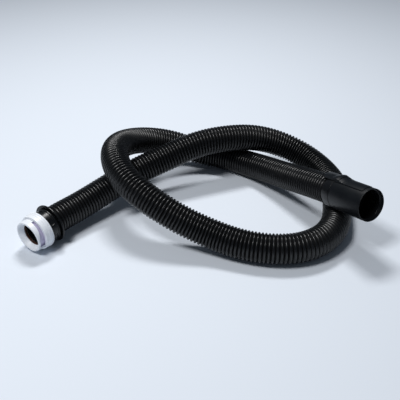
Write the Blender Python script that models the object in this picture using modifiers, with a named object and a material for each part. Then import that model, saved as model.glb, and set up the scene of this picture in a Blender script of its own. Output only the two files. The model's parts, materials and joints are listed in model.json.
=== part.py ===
"""Vacuum cleaner hose lying as a loose knot, with a swivelling inlet and a latched wand cuff.

Metres, +Z up. The origin is on the floor under the middle of the two end fittings' box. Each fitting is
modelled about its own axis, local +Z towards its mouth and local +X upwards, and placed by an empty.
"""

import math

import bmesh
import bpy
import numpy as np
from mathutils import Matrix, Vector

CLEARANCE = 0.0003
RUNNING_GAP = 0.0004
TURN_STEPS = 48
MERGE = 0.00001
OVERCUT = 0.0040

# Hose
HOSE_D = 0.039
HOSE_POINTS = 72
HOSE_STRAIGHT = 0.0060
SOCKET_R = HOSE_D / 2 + 0.0004
HOSE_BORE_R = HOSE_D / 2 - 0.0037

# Machine end, measured along its axis from the hose's end face to the mouth
INLET_SEAT = (-0.1901, 0.0018, 0.02591)
INLET_YAW = math.radians(233.2)
INLET_TILT = math.radians(-2.5)
CONNECTOR_BORE_R = HOSE_BORE_R - 0.0013
CONNECTOR_R = CONNECTOR_BORE_R + 0.0035
CONNECTOR_NECK_R = CONNECTOR_R - 0.0018
CONNECTOR_LAND_L = 0.0140
CONNECTOR_L = CONNECTOR_LAND_L + 0.0146
FLANGE_Z = 0.0009
FLANGE_T = 0.0022
FLANGE_LIP_R = SOCKET_R + 0.0022
FLANGE_LIP_L = 0.0035
SLEEVE_REAR_Z = FLANGE_Z + FLANGE_T + CLEARANCE
GROOVE_Z = SLEEVE_REAR_Z + 0.0026
GROOVE_W = 0.0024
GROOVE_DEPTH = 0.0011
TAIL_R = CONNECTOR_R + RUNNING_GAP + 0.0010
TAIL_Z = GROOVE_Z + GROOVE_W + 0.0006
TAIL_BEAD = 0.00045
TAIL_BEAD_Z = TAIL_Z + 0.0020
TAIL_BEAD_L = 0.0010
SLEEVE_BORE_R = TAIL_R + CLEARANCE
SLEEVE_R = SLEEVE_BORE_R + 0.0015
SLEEVE_FLANGE_R = SLEEVE_R + 0.0004
SLEEVE_BEAD_R = SLEEVE_R + 0.0012
SLEEVE_BEAD_Z = SLEEVE_REAR_Z + 0.0018
SLEEVE_BEAD_L = 0.0016
FLANGE_R = SLEEVE_BEAD_R + 0.0034
RING_R = SLEEVE_BORE_R - 0.0006
RING_GAP_W = 0.0038
POCKET_COUNT = 6
POCKET_W = 0.0098
POCKET_Z = SLEEVE_BEAD_Z + SLEEVE_BEAD_L + 0.0018
POCKET_L = 0.0060
POCKET_FLOOR_R = SLEEVE_R - 0.0009
REAR_TIER_Z = POCKET_Z + POCKET_L + 0.0023
REAR_TIER_L = 0.0066
SLEEVE_FRONT_Z = REAR_TIER_Z + 0.0040
NOZZLE_POCKET_R = SLEEVE_R + 0.0010
REAR_TIER_R = NOZZLE_POCKET_R + 0.0020
BAND_R = REAR_TIER_R - 0.0004
BAND_Z = REAR_TIER_Z + REAR_TIER_L
BAND_L = 0.0055
SEAL_POCKET_R = CONNECTOR_NECK_R + 0.0010
SEAL_STEP_Z = CONNECTOR_LAND_L + 0.0083
SEAL_L = 0.0030
SEAL_ROOF_Z = CONNECTOR_L + SEAL_L + 2 * CLEARANCE
SEAL_BORE_R = CONNECTOR_BORE_R + 0.0004
THROAT_R = CONNECTOR_BORE_R + 0.0005
THROAT_Z = SEAL_ROOF_Z + 0.0008
MOUTH_Z = THROAT_Z + 0.0065
BAYONET_FLOOR_R = SEAL_POCKET_R + 0.0022
BAYONET_L = 0.0052
BAYONET_LANDS_DEG = (18.0, 198.0)
BAYONET_LAND_W = 0.0110
BAYONET_LAND_SLANT = 0.0030
NOSE_R = BAYONET_FLOOR_R + 0.0016
MOUTH_LIP_R = NOSE_R - 0.0023

# Wand end, measured along its axis from the shoulder's hose-side edge to the mouth
CUFF_SEAT = (0.1780, 0.0253, 0.0592)
CUFF_YAW = math.radians(-59.4)
CUFF_TILT = math.radians(12.7)
INSERT_SOCKET_L = 0.0060
INSERT_BORE_R = HOSE_BORE_R - 0.0003
INSERT_TAIL_R = INSERT_BORE_R + 0.0034
SHOULDER_L = 0.0129
SHOULDER_REAR_R = SOCKET_R + 0.0007
SHOULDER_FRONT_R = INSERT_TAIL_R + 0.0022
INSERT_L = SHOULDER_L + 0.0201
INSERT_BEAD_R = INSERT_TAIL_R + 0.0004
INSERT_BEAD_Z = SHOULDER_L + 0.0095
INSERT_BEAD_L = 0.0016
CUFF_BORE_R = INSERT_TAIL_R + CLEARANCE
CUFF_REAR_R = CUFF_BORE_R + 0.0018
CUFF_MOUTH_R = CUFF_REAR_R + 0.0002
CUFF_REACH = 0.0357
CUFF_MOUTH_Z = INSERT_L + CUFF_REACH
STOP_R = INSERT_TAIL_R - 0.0019
STOP_Z = INSERT_L + RUNNING_GAP
STOP_L = 0.0030
RECESS_R = CUFF_BORE_R + 0.0011
WAND_SOCKET_R = RECESS_R - 0.0015
RIM_BORE_R = WAND_SOCKET_R + 0.0015
RIM_BORE_L = 0.0048

# Latch: a rocking lever over the top of the cuff
LEVER_W = 0.0180
LEVER_GAP = 0.00035
PIVOT_Z = SHOULDER_L + 0.0035
PIVOT_R = RECESS_R + 0.0017
LEVER_IN_R = RECESS_R + 0.0004
LEVER_PAD_IN_R = SHOULDER_FRONT_R + 0.0008
PAD_REACH = 0.0285
LEVER_REAR_Z = PIVOT_Z - PAD_REACH
LEVER_FRONT_Z = CUFF_MOUTH_Z - RIM_BORE_L - 0.0014
LEVER_MID_R = LEVER_IN_R + 0.0019
LEVER_NOSE_R = LEVER_IN_R + 0.0015
PAD_R = LEVER_PAD_IN_R + 0.0016
HUMP_R = PAD_R + 0.0021
HUMP_REAR_Z = PIVOT_Z - 0.0105
HUMP_TOP_Z = PIVOT_Z - 0.0014
HUMP_FRONT_Z = PIVOT_Z + 0.0106
PIN_R = 0.0008
PIN_L = 0.0150
PIN_GAP = 0.00035
LUG_W = 0.0040
LUG_L = 0.0036
LUG_TOP = PIVOT_R + 0.0014
LUG_GAP = 0.0006
HOOK_Z = STOP_Z + STOP_L + 0.0095
HOOK_L = 0.0032
HOOK_W = 0.0080
HOOK_TIP_R = WAND_SOCKET_R - 0.0013
WINDOW_GAP = 0.0009
SPRING_Z = PIVOT_Z - 0.0070
SPRING_COIL_R = 0.0018
SPRING_WIRE_R = 0.0002
SPRING_TURNS = 3
SPRING_POCKET_R = 0.0026
SPRING_POCKET_TOP = PAD_R - 0.0004

# Route of the hose between the two sockets, in millimetres
ROUTE_MM = (
    (-164.5, 32.5, 27), (-138.5, 59.5, 31), (-109.5, 85.5, 38), (-75.5, 110.5, 46), (-41.5, 130.5, 53),
    (-10.5, 146.5, 60), (19.5, 159.5, 63), (50.5, 171.5, 62), (82.5, 182.5, 57), (118.5, 188.5, 46),
    (151.5, 181.5, 34), (175.5, 161.5, 25), (190.5, 132.5, 20.6), (196.5, 92.5, 19.9), (191.5, 48.5, 20),
    (182.5, 10.5, 19.9), (163.5, -22.5, 20), (129.5, -44.5, 19.8), (90.5, -47.5, 20), (52.5, -38.5, 21.2),
    (16.5, -24.5, 27), (-18.5, -13.5, 39), (-52.5, 0.5, 54), (-82.5, 21.5, 67), (-103.5, 51.5, 75),
    (-113.5, 88.5, 78), (-110.5, 129.5, 72), (-92.5, 164.5, 61), (-65.5, 188.5, 49), (-33.5, 199.5, 37),
    (2.5, 199.5, 24), (39.5, 190.5, 20.4), (70.5, 172.5, 20.1), (96.5, 148.5, 24), (121.5, 115.5, 32),
    (146.5, 76.5, 44), (167.5, 43.5, 54),
)


def clear_scene():
    """Remove the objects that the file opened with."""
    for obj in list(bpy.data.objects):
        bpy.data.objects.remove(obj, do_unlink=True)


def make_collection(name):
    """New collection linked to the scene."""
    collection = bpy.data.collections.new(name)
    bpy.context.scene.collection.children.link(collection)
    return collection


def material(name, colour, roughness, metallic=0.0):
    """Principled material with one colour."""
    mat = bpy.data.materials.new(name)
    mat.use_nodes = True
    shader = mat.node_tree.nodes["Principled BSDF"]
    shader.inputs["Base Color"].default_value = (*colour, 1.0)
    shader.inputs["Roughness"].default_value = roughness
    shader.inputs["Metallic"].default_value = metallic
    mat.diffuse_color = (*colour, 1.0)
    return mat


def add_object(name, mesh, mat=None, cutter=False):
    """Object in the parts' or the cutters' collection."""
    obj = bpy.data.objects.new(name, mesh)
    (CUTTERS if cutter else PARTS).objects.link(obj)
    if mat:
        mesh.materials.append(mat)
    if cutter:
        obj.hide_render = True
        obj.display_type = "WIRE"
    return obj


def fitting_axis(name, seat, yaw, tilt):
    """Empty at a fitting's seat: local +Z along its axis towards the mouth, local +X upwards."""
    axis = Vector((math.cos(yaw) * math.cos(tilt), math.sin(yaw) * math.cos(tilt), math.sin(tilt)))
    up = Vector((0, 0, 1))
    across = (up - up.dot(axis) * axis).normalized()
    side = axis.cross(across)
    empty = bpy.data.objects.new(name, None)
    PARTS.objects.link(empty)
    empty.matrix_world = Matrix.Translation(seat) @ Matrix((across, side, axis)).transposed().to_4x4()
    return empty


def turned(name, outline, mat=None, parent=None, cutter=False, steps=TURN_STEPS):
    """Solid turned about local Z from a closed (radius, z) outline that runs down its outer side."""
    bm = bmesh.new()
    verts = [bm.verts.new((r, 0, z)) for r, z in outline]
    for i, vert in enumerate(verts):
        bm.edges.new((vert, verts[(i + 1) % len(verts)]))
    mesh = bpy.data.meshes.new(name)
    bm.to_mesh(mesh)
    bm.free()
    obj = add_object(name, mesh, mat, cutter)
    obj.parent = parent
    screw = obj.modifiers.new("Turn", "SCREW")
    screw.steps = steps
    screw.render_steps = steps
    screw.use_merge_vertices = True
    screw.merge_threshold = MERGE
    return obj


def block(name, size, centre, mat=None, parent=None, cutter=True, turn=0.0):
    """Box of a size about a centre, turned about local Z."""
    mesh = bpy.data.meshes.new(name)
    bm = bmesh.new()
    bmesh.ops.create_cube(bm, size=1.0)
    bmesh.ops.scale(bm, vec=size, verts=bm.verts)
    bmesh.ops.translate(bm, vec=centre, verts=bm.verts)
    bm.to_mesh(mesh)
    bm.free()
    obj = add_object(name, mesh, mat, cutter)
    obj.parent = parent
    obj.rotation_euler.z = turn
    return obj


def rod(name, radius, length, centre, turn, mat=None, parent=None, cutter=True, steps=24):
    """Round rod of a length about a centre; turn is its rotation from local Z."""
    mesh = bpy.data.meshes.new(name)
    bm = bmesh.new()
    bmesh.ops.create_cone(bm, cap_ends=True, segments=steps, radius1=radius, radius2=radius, depth=length)
    bm.to_mesh(mesh)
    bm.free()
    obj = add_object(name, mesh, mat, cutter)
    obj.parent = parent
    obj.location = centre
    obj.rotation_euler = turn
    return obj


def boolean(obj, cutter, operation="DIFFERENCE"):
    """Exact Boolean with another object."""
    mod = obj.modifiers.new(operation.title(), "BOOLEAN")
    mod.operation = operation
    mod.solver = "EXACT"
    mod.object = cutter
    return mod


def smooth_mesh(obj, angle=30.0):
    """Shade round faces smooth and keep the edges sharp."""
    obj.data.shade_smooth()
    obj.data.set_sharp_from_angle(angle=math.radians(angle))


def smooth_route(points, start, end, count):
    """Points at even steps along the cubic spline through points, with clamped end directions."""
    points = np.array(points)
    steps = np.linalg.norm(np.diff(points, axis=0), axis=1)
    knots = np.concatenate([[0.0], np.cumsum(steps)])
    system = np.zeros((len(points), len(points)))
    right = np.zeros((len(points), 3))
    system[0, 0] = system[-1, -1] = 1.0
    right[0] = start
    right[-1] = end
    for i in range(1, len(points) - 1):
        before, after = steps[i - 1], steps[i]
        system[i, i - 1:i + 2] = after, 2 * (before + after), before
        right[i] = 3 * (after * (points[i] - points[i - 1]) / before
                        + before * (points[i + 1] - points[i]) / after)
    slopes = np.linalg.solve(system, right)
    along = np.linspace(0, knots[-1], count)
    span = np.clip(np.searchsorted(knots, along, side="right") - 1, 0, len(points) - 2)
    width = steps[span][:, None]
    t = (along - knots[span])[:, None] / width
    return ((2 * t**3 - 3 * t**2 + 1) * points[span] + (t**3 - 2 * t**2 + t) * width * slopes[span]
            + (3 * t**2 - 2 * t**3) * points[span + 1] + (t**3 - t**2) * width * slopes[span + 1])


def wire(name, points, radius, mat, resolution):
    """Round tube along points, with filled ends."""
    curve = bpy.data.curves.new(name, "CURVE")
    curve.dimensions = "3D"
    curve.bevel_depth = radius
    curve.bevel_resolution = resolution
    curve.use_fill_caps = True
    spline = curve.splines.new("POLY")
    spline.points.add(len(points) - 1)
    for spot, point in zip(spline.points, points):
        spot.co = (*point, 1.0)
    spline.use_smooth = True
    obj = bpy.data.objects.new(name, curve)
    PARTS.objects.link(obj)
    curve.materials.append(mat)
    return obj


def make_hose(inlet, cuff):
    """Hose as a plain tube from the flange ring's socket to the insert's socket."""
    inlet_axis = inlet.matrix_world.to_3x3() @ Vector((0, 0, 1))
    cuff_axis = cuff.matrix_world.to_3x3() @ Vector((0, 0, 1))
    first = inlet.matrix_world @ Vector((0, 0, -CLEARANCE))
    last = cuff.matrix_world @ Vector((0, 0, INSERT_SOCKET_L - CLEARANCE))
    start = first - HOSE_STRAIGHT * inlet_axis
    end = last - HOSE_STRAIGHT * cuff_axis
    route = [start] + [Vector(point) / 1000 for point in ROUTE_MM] + [end]
    points = smooth_route(route, -inlet_axis, cuff_axis, HOSE_POINTS)
    return wire("hose", [first, *points, last], HOSE_D / 2, HOSE_BLACK, 3)


def make_hose_connector(inlet):
    """Inner tube that the hose is fixed to and the inlet turns on, with the snap ring's groove."""
    groove_r = CONNECTOR_R - GROOVE_DEPTH
    chamfer = 0.0006
    neck_z = CONNECTOR_LAND_L + CONNECTOR_R - CONNECTOR_NECK_R
    outline = (
        (CONNECTOR_NECK_R - chamfer, CONNECTOR_L), (CONNECTOR_NECK_R, CONNECTOR_L - chamfer),
        (CONNECTOR_NECK_R, neck_z), (CONNECTOR_R, CONNECTOR_LAND_L),
        (CONNECTOR_R, GROOVE_Z + GROOVE_W), (groove_r, GROOVE_Z + GROOVE_W),
        (groove_r, GROOVE_Z), (CONNECTOR_R, GROOVE_Z), (CONNECTOR_R, 0),
        (CONNECTOR_BORE_R + chamfer, 0), (CONNECTOR_BORE_R, chamfer), (CONNECTOR_BORE_R, CONNECTOR_L),
    )
    return turned("hose_connector", outline, GLOSS_BLACK, inlet)


def make_swivel_ring(inlet):
    """Split ring snapped into the connector's groove."""
    inner = CONNECTOR_R - GROOVE_DEPTH + CLEARANCE
    bottom = GROOVE_Z + CLEARANCE
    top = GROOVE_Z + GROOVE_W - CLEARANCE
    ring = turned("swivel_ring", ((RING_R, top), (RING_R, bottom), (inner, bottom), (inner, top)), STEEL, inlet)
    gap = block("ring_gap", (RING_R, RING_GAP_W, 2 * GROOVE_W), (-RING_R, 0, GROOVE_Z), parent=inlet)
    boolean(ring, gap)
    return ring


def make_flange_ring(inlet):
    """Flange over the connector's rear, with the socket that the hose's end sits in."""
    bore = CONNECTOR_R + CLEARANCE
    front = FLANGE_Z + FLANGE_T
    edge = 0.0005
    outline = (
        (FLANGE_R - edge, front), (FLANGE_R, front - edge), (FLANGE_R, FLANGE_Z + edge),
        (FLANGE_R - edge, FLANGE_Z), (FLANGE_LIP_R, FLANGE_Z),
        (FLANGE_LIP_R - 0.0008, FLANGE_Z - FLANGE_LIP_L), (SOCKET_R, FLANGE_Z - FLANGE_LIP_L),
        (SOCKET_R, 0), (bore, 0), (bore, front),
    )
    return turned("flange_ring", outline, GLOSS_BLACK, inlet)


def make_inlet_sleeve(inlet):
    """Sleeve round the nozzle's tail, caught behind the snap ring, with grip pockets."""
    flange_bore = CONNECTOR_R + RUNNING_GAP
    bead_end = SLEEVE_BEAD_Z + SLEEVE_BEAD_L
    groove_z = TAIL_BEAD_Z - CLEARANCE
    groove_l = TAIL_BEAD_L + 2 * CLEARANCE
    groove_r = TAIL_R + TAIL_BEAD + CLEARANCE
    outline = (
        (SLEEVE_R - 0.0003, SLEEVE_FRONT_Z), (SLEEVE_R, SLEEVE_FRONT_Z - 0.0003),
        (SLEEVE_R, bead_end + 0.0004), (SLEEVE_BEAD_R, bead_end), (SLEEVE_BEAD_R, SLEEVE_BEAD_Z),
        (SLEEVE_FLANGE_R, SLEEVE_BEAD_Z), (SLEEVE_FLANGE_R, SLEEVE_REAR_Z),
        (flange_bore, SLEEVE_REAR_Z), (flange_bore, GROOVE_Z), (SLEEVE_BORE_R, GROOVE_Z),
        (SLEEVE_BORE_R, groove_z), (groove_r, groove_z), (groove_r, groove_z + groove_l),
        (SLEEVE_BORE_R, groove_z + groove_l), (SLEEVE_BORE_R, SLEEVE_FRONT_Z),
    )
    sleeve = turned("inlet_sleeve", outline, GLOSS_BLACK, inlet)
    for i in range(POCKET_COUNT):
        pocket = block("grip_pocket_%d" % i, (OVERCUT, POCKET_W, POCKET_L),
                       (POCKET_FLOOR_R + OVERCUT / 2, 0, POCKET_Z + POCKET_L / 2), parent=inlet,
                       turn=math.radians(12.0) + 2 * math.pi * i / POCKET_COUNT)
        boolean(sleeve, pocket)
    return sleeve


def make_inlet_nozzle(inlet):
    """Nozzle: mouth funnel and nose, bayonet grooves, two-tier band and the snap tail inside the sleeve."""
    band_front = BAND_Z + BAND_L
    pocket_top = band_front - 0.0030
    bore_r = CONNECTOR_R + RUNNING_GAP
    bead_r = TAIL_R + TAIL_BEAD
    edge = 0.0007
    outline = (
        (NOSE_R - edge, MOUTH_Z), (NOSE_R, MOUTH_Z - edge), (NOSE_R, band_front),
        (BAND_R - edge, band_front), (BAND_R, band_front - edge), (BAND_R, BAND_Z),
        (REAR_TIER_R, BAND_Z), (REAR_TIER_R, REAR_TIER_Z + edge), (REAR_TIER_R - edge, REAR_TIER_Z),
        (NOZZLE_POCKET_R, REAR_TIER_Z), (NOZZLE_POCKET_R, pocket_top), (TAIL_R, pocket_top),
        (TAIL_R, TAIL_BEAD_Z + TAIL_BEAD_L), (bead_r, TAIL_BEAD_Z + TAIL_BEAD_L),
        (bead_r, TAIL_BEAD_Z + 0.0004), (TAIL_R, TAIL_BEAD_Z), (TAIL_R, TAIL_Z),
        (bore_r, TAIL_Z), (bore_r, SEAL_STEP_Z), (SEAL_POCKET_R, SEAL_STEP_Z),
        (SEAL_POCKET_R, SEAL_ROOF_Z), (THROAT_R, SEAL_ROOF_Z), (THROAT_R, THROAT_Z),
        (MOUTH_LIP_R, MOUTH_Z),
    )
    nozzle = turned("inlet_nozzle", outline, WHITE, inlet)
    groove_z = band_front + CLEARANCE
    outer = NOSE_R + OVERCUT
    groove = turned("bayonet_groove", (
        (outer, groove_z + BAYONET_L), (outer, groove_z),
        (BAYONET_FLOOR_R, groove_z), (BAYONET_FLOOR_R, groove_z + BAYONET_L)), parent=inlet, cutter=True)
    for i, angle in enumerate(BAYONET_LANDS_DEG):
        boolean(groove, bayonet_land("bayonet_land_%d" % i, groove_z, math.radians(angle), inlet))
    boolean(nozzle, groove)
    return nozzle


def bayonet_land(name, groove_z, angle, inlet):
    """Slant-ended block that stays standing across the bayonet groove."""
    rear_w, front_w = BAYONET_LAND_W / 2, BAYONET_LAND_W / 2 + BAYONET_LAND_SLANT
    rear, front = groove_z - 0.001, groove_z + BAYONET_L + 0.001
    curve = bpy.data.curves.new(name, "CURVE")
    curve.dimensions = "2D"
    curve.fill_mode = "BOTH"
    curve.extrude = 0.006
    spline = curve.splines.new("POLY")
    corners = ((-rear_w, rear), (rear_w, rear), (front_w, front), (-rear_w, front))
    spline.points.add(len(corners) - 1)
    for spot, (y, z) in zip(spline.points, corners):
        spot.co = (y, z, 0.0, 1.0)
    spline.use_cyclic_u = True
    flat = bpy.data.objects.new(name + "_outline", curve)
    CUTTERS.objects.link(flat)
    stand = Matrix(((0, 0, 1, NOSE_R + 0.002), (1, 0, 0, 0), (0, 1, 0, 0), (0, 0, 0, 1)))
    return as_mesh(flat, name, inlet, Matrix.Rotation(angle, 4, "Z") @ stand, cutter=True)


def as_mesh(flat, name, parent, place, cutter=False, mat=None):
    """Closed mesh object made from a curve object, which is removed."""
    bpy.context.view_layer.update()
    mesh = bpy.data.meshes.new_from_object(flat.evaluated_get(bpy.context.evaluated_depsgraph_get()))
    bm = bmesh.new()
    bm.from_mesh(mesh)
    bmesh.ops.remove_doubles(bm, verts=bm.verts, dist=MERGE)
    bmesh.ops.transform(bm, matrix=place, verts=bm.verts)
    bm.to_mesh(mesh)
    bm.free()
    mesh.materials.clear()
    bpy.data.objects.remove(flat, do_unlink=True)
    obj = add_object(name, mesh, mat, cutter)
    obj.parent = parent
    return obj


def make_inlet_seal(inlet):
    """Seal ring between the connector's front edge and the nozzle."""
    rear = CONNECTOR_L + CLEARANCE
    outer = SEAL_POCKET_R - CLEARANCE
    outline = ((outer, rear + SEAL_L), (outer, rear), (SEAL_BORE_R, rear), (SEAL_BORE_R, rear + SEAL_L))
    return turned("inlet_seal", outline, RUBBER, inlet)


def make_cuff_insert(cuff):
    """Shoulder ring with the hose's socket, and the tail that holds the cuff."""
    chamfer = 0.0008
    edge = 0.0004
    outline = (
        (INSERT_TAIL_R - chamfer, INSERT_L), (INSERT_TAIL_R, INSERT_L - chamfer),
        (INSERT_TAIL_R, INSERT_BEAD_Z + INSERT_BEAD_L), (INSERT_BEAD_R, INSERT_BEAD_Z + INSERT_BEAD_L / 2),
        (INSERT_TAIL_R, INSERT_BEAD_Z), (INSERT_TAIL_R, SHOULDER_L),
        (SHOULDER_FRONT_R - edge, SHOULDER_L), (SHOULDER_FRONT_R, SHOULDER_L - edge),
        (SHOULDER_REAR_R, 0), (SOCKET_R, 0), (SOCKET_R, INSERT_SOCKET_L), (INSERT_BORE_R, INSERT_SOCKET_L),
        (INSERT_BORE_R, INSERT_L),
    )
    return turned("cuff_insert", outline, GLOSS_BLACK, cuff)


def lever_strip(name, outline, width, mat, parent, cutter=False):
    """Part of a turned solid, as wide as the strip that the latch covers."""
    strip = turned(name, outline, mat, parent, cutter)
    reach = 2 * CUFF_MOUTH_R
    keep = block(name + "_width", (reach, width, 4 * reach), (reach / 2, 0, reach), parent=parent)
    boolean(strip, keep, "INTERSECT")
    return strip


def make_wand_cuff(cuff):
    """Cuff with the wand's socket, the latch's recess and window, and the lug that carries the pin."""
    rear = SHOULDER_L + CLEARANCE
    bead_z = INSERT_BEAD_Z - CLEARANCE
    bead_end = INSERT_BEAD_Z + INSERT_BEAD_L + CLEARANCE
    bead_r = INSERT_BEAD_R + CLEARANCE
    rim_z = CUFF_MOUTH_Z - RIM_BORE_L
    edge = 0.0004
    outline = (
        (CUFF_MOUTH_R - edge, CUFF_MOUTH_Z), (CUFF_MOUTH_R, CUFF_MOUTH_Z - edge),
        (CUFF_REAR_R, rear + edge), (CUFF_REAR_R - edge, rear), (CUFF_BORE_R, rear),
        (CUFF_BORE_R, bead_z), (bead_r, bead_z), (bead_r, bead_end), (CUFF_BORE_R, bead_end),
        (CUFF_BORE_R, STOP_Z), (STOP_R, STOP_Z), (STOP_R, STOP_Z + STOP_L),
        (WAND_SOCKET_R, STOP_Z + STOP_L), (WAND_SOCKET_R, rim_z), (RIM_BORE_R, rim_z),
        (RIM_BORE_R, CUFF_MOUTH_Z),
    )
    body = turned("wand_cuff", outline, CUFF_BLACK, cuff)
    outer = CUFF_MOUTH_R + OVERCUT
    recess_end = LEVER_FRONT_Z + 0.0004
    recess = lever_strip("latch_recess", (
        (outer, recess_end), (outer, rear - 0.002), (RECESS_R, rear - 0.002), (RECESS_R, recess_end)),
        LEVER_W + 2 * LEVER_GAP, None, cuff, cutter=True)
    boolean(body, recess)
    root = RECESS_R - 0.0004
    lug = block("pin_lug", (LUG_TOP - root, LUG_W, LUG_L), ((LUG_TOP + root) / 2, 0, PIVOT_Z), parent=cuff)
    boolean(body, lug, "UNION")
    window = block("hook_window", (OVERCUT, HOOK_W + 2 * WINDOW_GAP, HOOK_L + 2 * WINDOW_GAP),
                   ((RECESS_R + WAND_SOCKET_R) / 2, 0, HOOK_Z + HOOK_L / 2), parent=cuff)
    boolean(body, window)
    boolean(body, rod("lug_hole", PIN_R + PIN_GAP, 2 * LUG_W, (PIVOT_R, 0, PIVOT_Z), (math.pi / 2, 0, 0),
                      parent=cuff))
    return body


def make_latch_lever(cuff):
    """Rocking lever: press pad over the hose's end, hump over the lug, strip and hook; origin on the pivot."""
    pivot = bpy.data.objects.new("latch_pivot", None)
    PARTS.objects.link(pivot)
    pivot.parent = cuff
    pivot.location = (PIVOT_R, 0, PIVOT_Z)
    front_edge = 0.0010
    step_z = SHOULDER_L + 0.0009
    outline = [
        (LEVER_NOSE_R - front_edge, LEVER_FRONT_Z), (LEVER_NOSE_R, LEVER_FRONT_Z - front_edge),
        (LEVER_MID_R, HUMP_FRONT_Z + 0.0050), (LEVER_MID_R + 0.0005, HUMP_FRONT_Z),
        (HUMP_R - 0.0010, HUMP_TOP_Z + 0.0060), (HUMP_R - 0.0002, HUMP_TOP_Z + 0.0020), (HUMP_R, HUMP_TOP_Z),
        (HUMP_R - 0.0006, HUMP_TOP_Z - 0.0040), (PAD_R, HUMP_REAR_Z), (PAD_R - 0.0002, LEVER_REAR_Z + 0.0014),
        (PAD_R - 0.0010, LEVER_REAR_Z), (LEVER_PAD_IN_R, LEVER_REAR_Z),
        (LEVER_PAD_IN_R, step_z), (LEVER_IN_R, step_z + 0.0010), (LEVER_IN_R, LEVER_FRONT_Z),
    ]
    back = Vector((-PIVOT_R, 0, -PIVOT_Z))
    lever = lever_strip("latch_lever", outline, LEVER_W, LATCH_BLACK, cuff)
    hook = block("hook", (LEVER_IN_R + 0.0006 - HOOK_TIP_R, HOOK_W, HOOK_L),
                 ((LEVER_IN_R + 0.0006 + HOOK_TIP_R) / 2, 0, HOOK_Z + HOOK_L / 2), parent=cuff)
    boolean(lever, hook, "UNION")
    roof = LUG_TOP + LUG_GAP
    slot = block("lug_slot", (roof - CUFF_BORE_R, LUG_W + 2 * LUG_GAP, LUG_L + 2 * LUG_GAP),
                 ((roof + CUFF_BORE_R) / 2, 0, PIVOT_Z), parent=cuff)
    boolean(lever, slot)
    boolean(lever, rod("lever_hole", PIN_R + PIN_GAP, PIN_L + 2 * CLEARANCE, (PIVOT_R, 0, PIVOT_Z),
                       (math.pi / 2, 0, 0), parent=cuff))
    boolean(lever, rod("spring_well", SPRING_POCKET_R, SPRING_POCKET_TOP - CUFF_BORE_R,
                       ((SPRING_POCKET_TOP + CUFF_BORE_R) / 2, 0, SPRING_Z), (0, math.pi / 2, 0), parent=cuff))
    move_origin(lever, pivot, back)
    return lever


def move_origin(obj, pivot, back):
    """Put an object's origin on its pivot and leave its shape where it is."""
    bpy.context.view_layer.update()
    mesh = bpy.data.meshes.new_from_object(obj.evaluated_get(bpy.context.evaluated_depsgraph_get()))
    obj.modifiers.clear()
    old = obj.data
    obj.data = mesh
    bpy.data.meshes.remove(old)
    mesh.transform(Matrix.Translation(back))
    obj.parent = pivot


def make_latch_pin(cuff):
    """Pin through the lever and the cuff's lug."""
    return rod("latch_pin", PIN_R, PIN_L, (PIVOT_R, 0, PIVOT_Z), (math.pi / 2, 0, 0), STEEL, cuff, cutter=False)


def make_latch_spring(cuff):
    """Coil spring between the shoulder ring and the lever's well."""
    bottom = SHOULDER_FRONT_R + SPRING_WIRE_R + CLEARANCE / 2
    top = SPRING_POCKET_TOP - SPRING_WIRE_R - CLEARANCE
    per_turn = 12
    points = []
    for i in range(SPRING_TURNS * per_turn + 1):
        angle = 2 * math.pi * i / per_turn
        height = bottom + (top - bottom) * i / (SPRING_TURNS * per_turn)
        across, along = SPRING_COIL_R * math.cos(angle), SPRING_COIL_R * math.sin(angle)
        points.append(Vector((height, across, SPRING_Z + along)))
    coil = wire("latch_spring", points, SPRING_WIRE_R, STEEL, 2)
    coil.parent = cuff
    return coil


clear_scene()
PARTS = make_collection("vacuum_cleaner_hose")
CUTTERS = make_collection("cutters")
HOSE_BLACK = material("hose_black", (0.012, 0.012, 0.013), 0.45)
GLOSS_BLACK = material("gloss_black", (0.014, 0.015, 0.016), 0.3)
CUFF_BLACK = material("cuff_black", (0.018, 0.020, 0.022), 0.42)
LATCH_BLACK = material("latch_black", (0.014, 0.017, 0.020), 0.35)
WHITE = material("collar_white", (0.80, 0.82, 0.86), 0.4)
RUBBER = material("seal_rubber", (0.035, 0.015, 0.010), 0.6)
STEEL = material("spring_steel", (0.55, 0.55, 0.55), 0.3, 1.0)


def main():
    """Build every piece of the hose."""
    inlet = fitting_axis("inlet_axis", INLET_SEAT, INLET_YAW, INLET_TILT)
    cuff = fitting_axis("cuff_axis", CUFF_SEAT, CUFF_YAW, CUFF_TILT)
    bpy.context.view_layer.update()
    make_hose(inlet, cuff)
    pieces = [
        make_hose_connector(inlet), make_swivel_ring(inlet), make_flange_ring(inlet),
        make_inlet_sleeve(inlet), make_inlet_nozzle(inlet), make_inlet_seal(inlet),
        make_cuff_insert(cuff), make_wand_cuff(cuff), make_latch_lever(cuff), make_latch_pin(cuff),
    ]
    make_latch_spring(cuff)
    for piece in pieces:
        smooth_mesh(piece)


main()
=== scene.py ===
"""Looks of the vacuum cleaner hose: ribbed black hose, white bayonet inlet and black latched wand cuff."""

import json
import math

import bmesh
import bpy
import numpy as np
from mathutils import Matrix, Vector

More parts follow.
